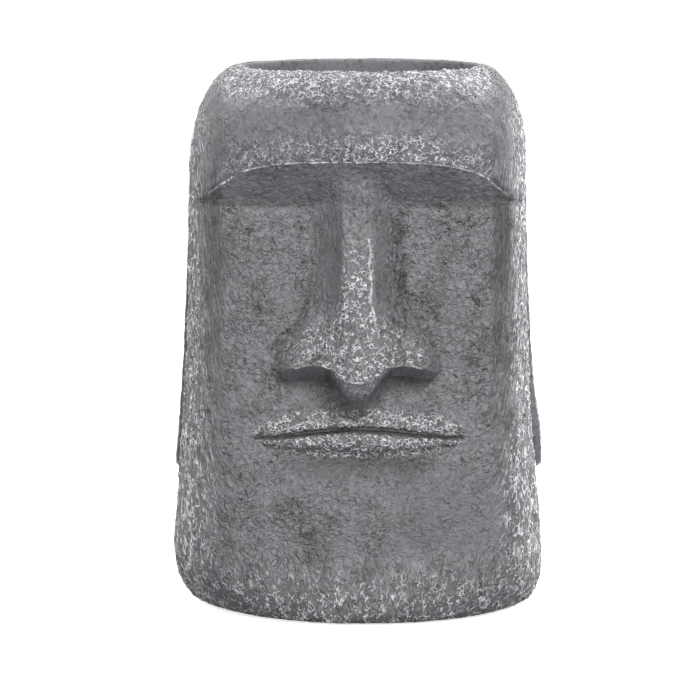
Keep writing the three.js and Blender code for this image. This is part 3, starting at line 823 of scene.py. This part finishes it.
# ---- Operators ----
class PLANTER_OT_casting(bpy.types.Operator):
    """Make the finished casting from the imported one, with its relief and worn skin"""

    bl_idname = "planter.casting"
    bl_label = "Casting"

    def execute(self, context):
        skin = context.scene.planter_skin
        piece = copy_of_node(CASTING_NODE, "stone_head")
        mesh = piece.data
        marks = {"edge": edge_points(mesh, shows_wear), "fold": edge_points(mesh, holds_crease_shade)}
        crease_folds(mesh)
        apply_modifier(piece, "SUBSURF", levels=2, render_levels=2)
        soften(piece, Places(mesh).round_edges())

        surface = surface_of(mesh)
        marks["scar"] = [p for run in (WING_CRACK, FOOT_GOUGE, *SMALL_SCARS) for p in on_face(run, surface)]
        marks["brow"] = brow_run(surface)
        marks["edge"] += on_face(RIDGE_WEAR, surface) + on_face(lip_run(), surface) + marks["brow"]
        points = read_vectors(mesh.vertices, "co")
        gaps = {name: distances(points, found, surface) for name, found in marks.items()}
        places = Places(mesh)
        hand_relief(mesh, places, gaps, skin)
        skin_fields(mesh, places, gaps)
        lay_fine_relief(piece, skin)

        mesh = piece.data
        for polygon in mesh.polygons:
            polygon.use_smooth = True
        mesh.materials.append(stone_material(skin))
        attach(piece, "root")
        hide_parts(CASTING_NODE)
        return {"FINISHED"}


def soft_light(name, place, width, height, power):
    bpy.ops.object.light_add(type="AREA", location=place)
    light = bpy.context.object
    light.name = name
    light.data.shape = "RECTANGLE"
    light.data.size = width
    light.data.size_y = height
    light.data.energy = power
    way = Vector(LIGHT_TARGET) - light.location
    light.rotation_euler = way.to_track_quat("-Z", "Y").to_euler()


def plain_floor(studio):
    """A pale floor that glows a little, so that it stays as white as the background."""
    bpy.ops.mesh.primitive_plane_add(size=studio.floor_size, location=(0, 0, 0))
    floor = bpy.context.object
    floor.name = "studio_floor"
    material = bpy.data.materials.new("pale_floor")
    material.use_nodes = True
    book = NodeBook(material.node_tree)
    sockets = {
        "Base Color": (*studio.floor_colour, 1),
        "Roughness": 1.0,
        "Specular IOR Level": 0.0,
        "Emission Color": (1, 1, 1, 1),
        "Emission Strength": 0.72,
    }
    shader = book.add("ShaderNodeBsdfPrincipled", {}, sockets)
    book.add("ShaderNodeOutputMaterial", {"target": "ALL"}, {"Surface": shader})
    floor.data.materials.append(material)
    floor.visible_diffuse = False
    floor.visible_glossy = False


def studio_world(studio):
    """A soft even light from all round, in front of a plain white background."""
    world = bpy.data.worlds.new("studio")
    bpy.context.scene.world = world
    world.use_nodes = True
    book = NodeBook(world.node_tree)
    light = book.add("ShaderNodeBackground", {}, {"Color": (0.97, 0.98, 1, 1), "Strength": studio.sky})
    white = book.add("ShaderNodeBackground", {}, {"Color": (1, 1, 1, 1), "Strength": 1.0})
    seen = book.add("ShaderNodeLightPath", output="Is Camera Ray")
    both = book.add("ShaderNodeMixShader", {}, {0: seen, 1: light, 2: white})
    book.add("ShaderNodeOutputWorld", {}, {"Surface": both})


def front_camera(studio):
    place = Vector((AXIS_X * MM, AXIS_Y * MM - studio.camera_distance, studio.camera_height))
    bpy.ops.object.camera_add(location=place)
    camera = bpy.context.object
    camera.name = "front_camera"
    camera.rotation_euler = (math.pi / 2 - studio.camera_dip, 0, studio.camera_turn)
    camera.data.lens = studio.camera_lens
    camera.data.sensor_width = 36
    bpy.context.scene.camera = camera


class PLANTER_OT_studio(bpy.types.Operator):
    """Make the pale floor, the soft lights, the white background and the camera"""

    bl_idname = "planter.studio"
    bl_label = "Studio"

    def execute(self, context):
        studio = context.scene.planter_studio
        deselect_all()
        plain_floor(studio)
        studio_world(studio)
        for name, place, width, height, setting, share in LIGHTS:
            soft_light(name, place, width, height, share * getattr(studio, setting))
        front_camera(studio)
        context.scene.view_settings.view_transform = "Standard"
        deselect_all()
        return {"FINISHED"}


class PLANTER_PT_sidebar(bpy.types.Panel):
    """Lists the planter's pieces and settings."""

    bl_label = "Stone head planter"
    bl_idname = "PLANTER_PT_sidebar"
    bl_space_type = "VIEW_3D"
    bl_region_type = "UI"
    bl_category = "Planter"

    def draw(self, context):
        scene = context.scene
        parts = ((scene.planter_skin, "planter.casting"), (scene.planter_studio, "planter.studio"))
        column = self.layout.column()
        for group, operator in parts:
            column.operator(operator)
            for name in group.__annotations__:
                column.prop(group, name)


CLASSES = (PlanterSkin, PlanterStudio, PLANTER_OT_casting, PLANTER_OT_studio, PLANTER_PT_sidebar)


def register():
    for made in CLASSES:
        bpy.utils.register_class(made)
    bpy.types.Scene.planter_skin = PointerProperty(type=PlanterSkin)
    bpy.types.Scene.planter_studio = PointerProperty(type=PlanterStudio)


def unregister():
    del bpy.types.Scene.planter_studio
    del bpy.types.Scene.planter_skin
    for made in reversed(CLASSES):
        bpy.utils.unregister_class(made)


def main():
    register()
    bpy.ops.planter.casting()
    bpy.ops.planter.studio()


if __name__ == "__main__":
    main()
